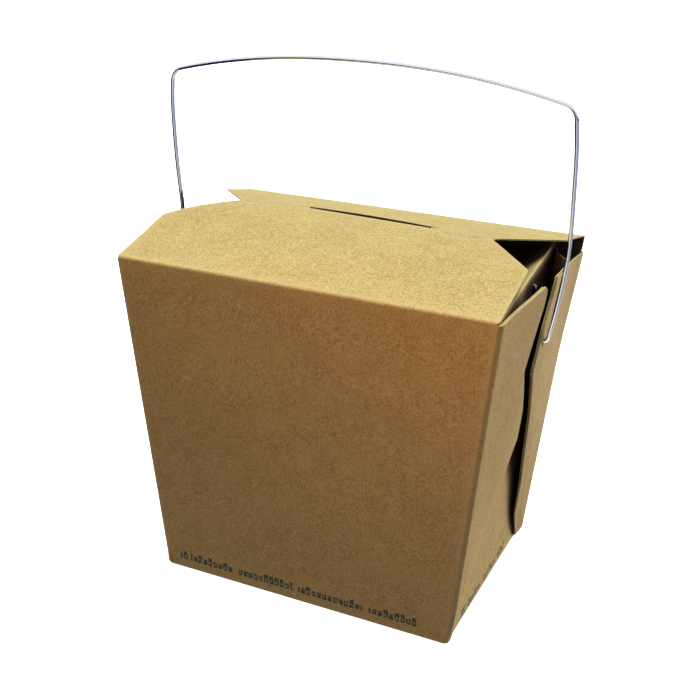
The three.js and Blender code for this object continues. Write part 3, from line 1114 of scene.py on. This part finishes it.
def kraft_board(name, edge=False, inside=False):
    """Board: printed and paler along its folds, fluffed up at a cut edge, or its inner face painted
    dark as shade.
    """
    finish = Finish(name)
    vector, x, y, z = finish.place()
    patch = finish.noise(vector, 0.45, detail=3, roughness=0.6)
    grain = finish.noise(vector, 1.9, detail=4, roughness=0.65)
    fibre = finish.noise(vector, 2.6, detail=2, roughness=0.6, distortion=2.2)
    colour = mottled(finish, vector, patch, grain, fibre)
    crease = finish.node("ShaderNodeAttribute", out="Fac", attribute_name="crease")
    painted_shade = finish.node("ShaderNodeAttribute", out="Fac", attribute_name="painted_shade")
    if inside:
        # The inner face is painted dark as shade
        colour = finish.mix(0.8 + patch * 0.2, colour, INSIDE_PAINTED_SHADE)
    elif edge:
        colour = finish.mix(grain * 0.9, colour, FOLD_AND_CUT_PALE)
        # Painted shade where the cut edge lies in shade
        colour = finish.mix(painted_shade, colour, KRAFT_SHADED)
    else:
        # Paler along the folds
        colour = finish.mix(crease * (0.25 + patch * 0.5), colour, FOLD_AND_CUT_PALE)
        ink = printed(finish, x, y, z) * (0.97 - (grain - 0.5) * 0.8)
        colour = finish.mix(ink, colour, INK)
        # Painted shade where the board lies in shade beside the webs, under the lid and at the
        # slot's lip
        colour = finish.mix(painted_shade, colour, KRAFT_SHADED)
    finish.feed("Base Color", colour)
    finish.feed("Roughness", 0.66 + (grain - 0.5) * 0.25)
    finish.feed("Specular IOR Level", 0.2)
    height = grain * 0.5 + fibre * 0.35 + patch * 0.8
    bump = finish.node(
        "ShaderNodeBump", out="Normal", links={"Height": height}, Strength=0.35, Distance=0.06 * MM
    )
    finish.feed("Normal", bump)
    return finish.material


def bright_wire(name):
    finish = Finish(name)
    vector, *_ = finish.place()
    scuff = finish.noise(vector, 1.2)
    painted_shade = finish.node("ShaderNodeAttribute", out="Fac", attribute_name="painted_shade")
    # Painted shade darkens the wire's crank and hook stem behind the rear web
    finish.feed("Base Color", finish.mix(painted_shade, WIRE_BRIGHT, WIRE_SHADED))
    finish.feed("Metallic", 1.0)
    finish.feed("Roughness", 0.05 + scuff * 0.12)
    return finish.material


def floor_finish(name):
    finish = Finish(name)
    finish.feed("Base Color", (0.86, 0.86, 0.86, 1))
    finish.feed("Roughness", 0.9)
    finish.feed("Emission Color", (1, 1, 1, 1))
    finish.feed("Emission Strength", FLOOR_GLOW)
    return finish.material


# Stage


def floor():
    """Pale floor with pale walls far round it."""
    far = STAGE_REACH
    mesh = bpy.data.meshes.new("floor")
    ring = [(-far, -far), (far, -far), (far, far), (-far, far)]
    verts = [(x, y, z) for z in (FLOOR_LEVEL, far) for x, y in ring]
    walls = [(i, (i + 1) % 4, (i + 1) % 4 + 4, i + 4) for i in range(4)]
    mesh.from_pydata(verts, [], [(0, 1, 2, 3), *walls])
    mesh.materials.append(floor_finish("pale_floor"))
    obj = link(bpy.data.objects.new("floor", mesh))
    obj.visible_diffuse = False
    obj.visible_glossy = False
    obj.visible_shadow = False
    obj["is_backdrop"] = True


def card(name, x, y, z, glow):
    """A flat card that shows only as a reflection in the wire and the sheen."""
    mesh = bpy.data.meshes.new(name)
    corners = [(x[0], y[0], z), (x[1], y[0], z), (x[1], y[1], z), (x[0], y[1], z)]
    mesh.from_pydata(corners, [], [(0, 1, 2, 3)])
    finish = Finish(name)
    finish.feed("Base Color", (0, 0, 0, 1))
    finish.feed("Specular IOR Level", 0)
    finish.feed("Emission Color", (*glow, 1))
    finish.feed("Emission Strength", 1)
    mesh.materials.append(finish.material)
    obj = link(bpy.data.objects.new(name, mesh))
    obj.visible_camera = False
    obj.visible_diffuse = False
    obj.visible_shadow = False
    obj.visible_transmission = False
    obj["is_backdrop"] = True


def cards():
    """What the shiny wire mirrors. The cards at the floor lie one over another."""
    far = (-STAGE_REACH, STAGE_REACH)
    card("grey_table", far, far, z=-0.0004, glow=(0.33, 0.35, 0.45))
    card("white_sheet", (-0.13, 0.16), (-1.2, 0.3), z=-0.0003, glow=(1.1, 1.12, 1.16))
    card("dark_side", (-2, -0.09), (-1.2, 0.35), z=-0.0002, glow=(0.004, 0.006, 0.012))
    card("pale_ceiling", far, far, z=CEILING_LEVEL, glow=(0.95, 0.97, 1.05))


def area_light(name, place, aim, size, power, colour):
    data = bpy.data.lights.new(name, "AREA")
    data.shape = "DISK"
    data.size = size
    data.energy = power
    data.color = colour
    obj = link(bpy.data.objects.new(name, data))
    obj.location = place
    direction = Vector(aim) - Vector(place)
    obj.rotation_euler = direction.to_track_quat("-Z", "Y").to_euler()
    return obj


def sun(name, direction, angle, power, colour):
    data = bpy.data.lights.new(name, "SUN")
    data.angle = math.radians(angle)
    data.energy = power
    data.color = colour
    obj = link(bpy.data.objects.new(name, data))
    obj.rotation_euler = (-Vector(direction)).to_track_quat("-Z", "Y").to_euler()


def lights():
    """Four wide, soft suns and a faint blue light from all round."""
    sun("overhead", (0.08, 0.12, 1), angle=60, power=4.2, colour=(0.735, 0.90, 0.92))
    sun("right_side", (0.42, 0.9, 0.0), angle=30, power=2.65, colour=(1.0, 0.84, 0.63))
    sun("left_side", (-1, 0.35, 0.3), angle=40, power=0.9, colour=(0.95, 0.97, 1.0))
    sun("front", (-0.2, -1, 0.3), angle=40, power=0.25, colour=(1.0, 0.80, 0.78))
    world = bpy.context.scene.world or bpy.data.worlds.new("studio")
    bpy.context.scene.world = world
    world.use_nodes = True
    background = world.node_tree.nodes["Background"]
    background.inputs["Color"].default_value = (0.6, 0.75, 1.0, 1)
    background.inputs["Strength"].default_value = 0.06


def warm_lights(piece):
    """Small warm lights in front and at the right that fall on one piece alone."""
    lit = bpy.data.collections.new("lit_by_warm")
    lit.objects.link(piece)
    front = area_light(
        "warm",
        place=(0, -0.16, 0.22),
        aim=(0, -0.04, 0.08),
        size=0.08,
        power=0.09,
        colour=(1.0, 0.50, 0.12),
    )
    corner = area_light(
        "warm_corner",
        place=(0.07, -0.11, 0.095),
        aim=(0.05, -0.04, 0.09),
        size=0.03,
        power=0.010,
        colour=(1.0, 0.42, 0.10),
    )
    for light in (front, corner):
        light.light_linking.receiver_collection = lit


def camera():
    """The view of the photograph, from the front right and above, rolled a little."""
    level = math.cos(CAMERA_ELEVATION)
    back = Vector((
        math.sin(CAMERA_AZIMUTH) * level,
        -math.cos(CAMERA_AZIMUTH) * level,
        math.sin(CAMERA_ELEVATION),
    ))
    right = Vector((0, 0, 1)).cross(back).normalized()
    up = back.cross(right)
    stay, turn = math.cos(CAMERA_ROLL), math.sin(CAMERA_ROLL)
    right, up = stay * right + turn * up, -turn * right + stay * up
    place = CAMERA_AIM + back * CAMERA_DISTANCE + right * CAMERA_ASIDE + up * CAMERA_RAISED
    data = bpy.data.cameras.new("camera")
    data.sensor_width = SENSOR
    data.lens = CAMERA_LENS
    data.clip_start = 0.01
    data.clip_end = 50
    obj = link(bpy.data.objects.new("camera", data))
    facing = Matrix((right, up, back)).transposed().to_4x4()
    obj.matrix_world = Matrix.Translation(place * MM) @ facing
    bpy.context.scene.camera = obj


# Assembly


def board_pieces():
    """The four boards. Only the rear one has its inner face painted dark as shade, where its slot
    shows it.
    """
    finishes = [
        kraft_board("kraft_board"),
        kraft_board("kraft_board_cut_edge", edge=True),
        kraft_board("kraft_board_inside_painted_shade", inside=True),
    ]
    front, rear = front_board(), rear_board()
    pieces = [front, rear, side_wall("right_side_wall", 1), side_wall("left_side_wall", -1)]
    for piece in pieces:
        for finish in finishes:
            piece.data.materials.append(finish)
        thicken(piece, INNER_FINISH if piece == rear else OUTER_FINISH)
    pierce(rear)
    for piece in pieces:
        soften_cuts(piece)
        shade(piece)
        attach(piece, "box")
        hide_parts("carton")
    return pieces


def handle_piece():
    wire = wire_handle(bright_wire("bright_wire"))
    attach(wire, "handle")
    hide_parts("wire_handle")


def plain(bounds):
    """Bounds as plain lists, whatever they hold."""
    if isinstance(bounds, dict):
        return {key: plain(value) for key, value in bounds.items()}
    if isinstance(bounds, (list, tuple, Vector)):
        return [plain(value) for value in bounds]
    return bounds


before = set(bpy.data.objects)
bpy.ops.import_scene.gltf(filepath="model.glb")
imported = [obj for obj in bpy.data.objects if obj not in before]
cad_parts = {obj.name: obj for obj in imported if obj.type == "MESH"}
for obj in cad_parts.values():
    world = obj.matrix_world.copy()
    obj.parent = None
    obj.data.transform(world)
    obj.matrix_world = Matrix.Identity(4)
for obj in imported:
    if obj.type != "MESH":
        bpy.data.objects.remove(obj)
packed_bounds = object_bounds()
bpy.context.scene.view_settings.view_transform = "Standard"
camera()
floor()
cards()
lights()
warm_lights(board_pieces()[0])
handle_piece()
{"packed": plain(packed_bounds), "dressed": plain(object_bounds())}
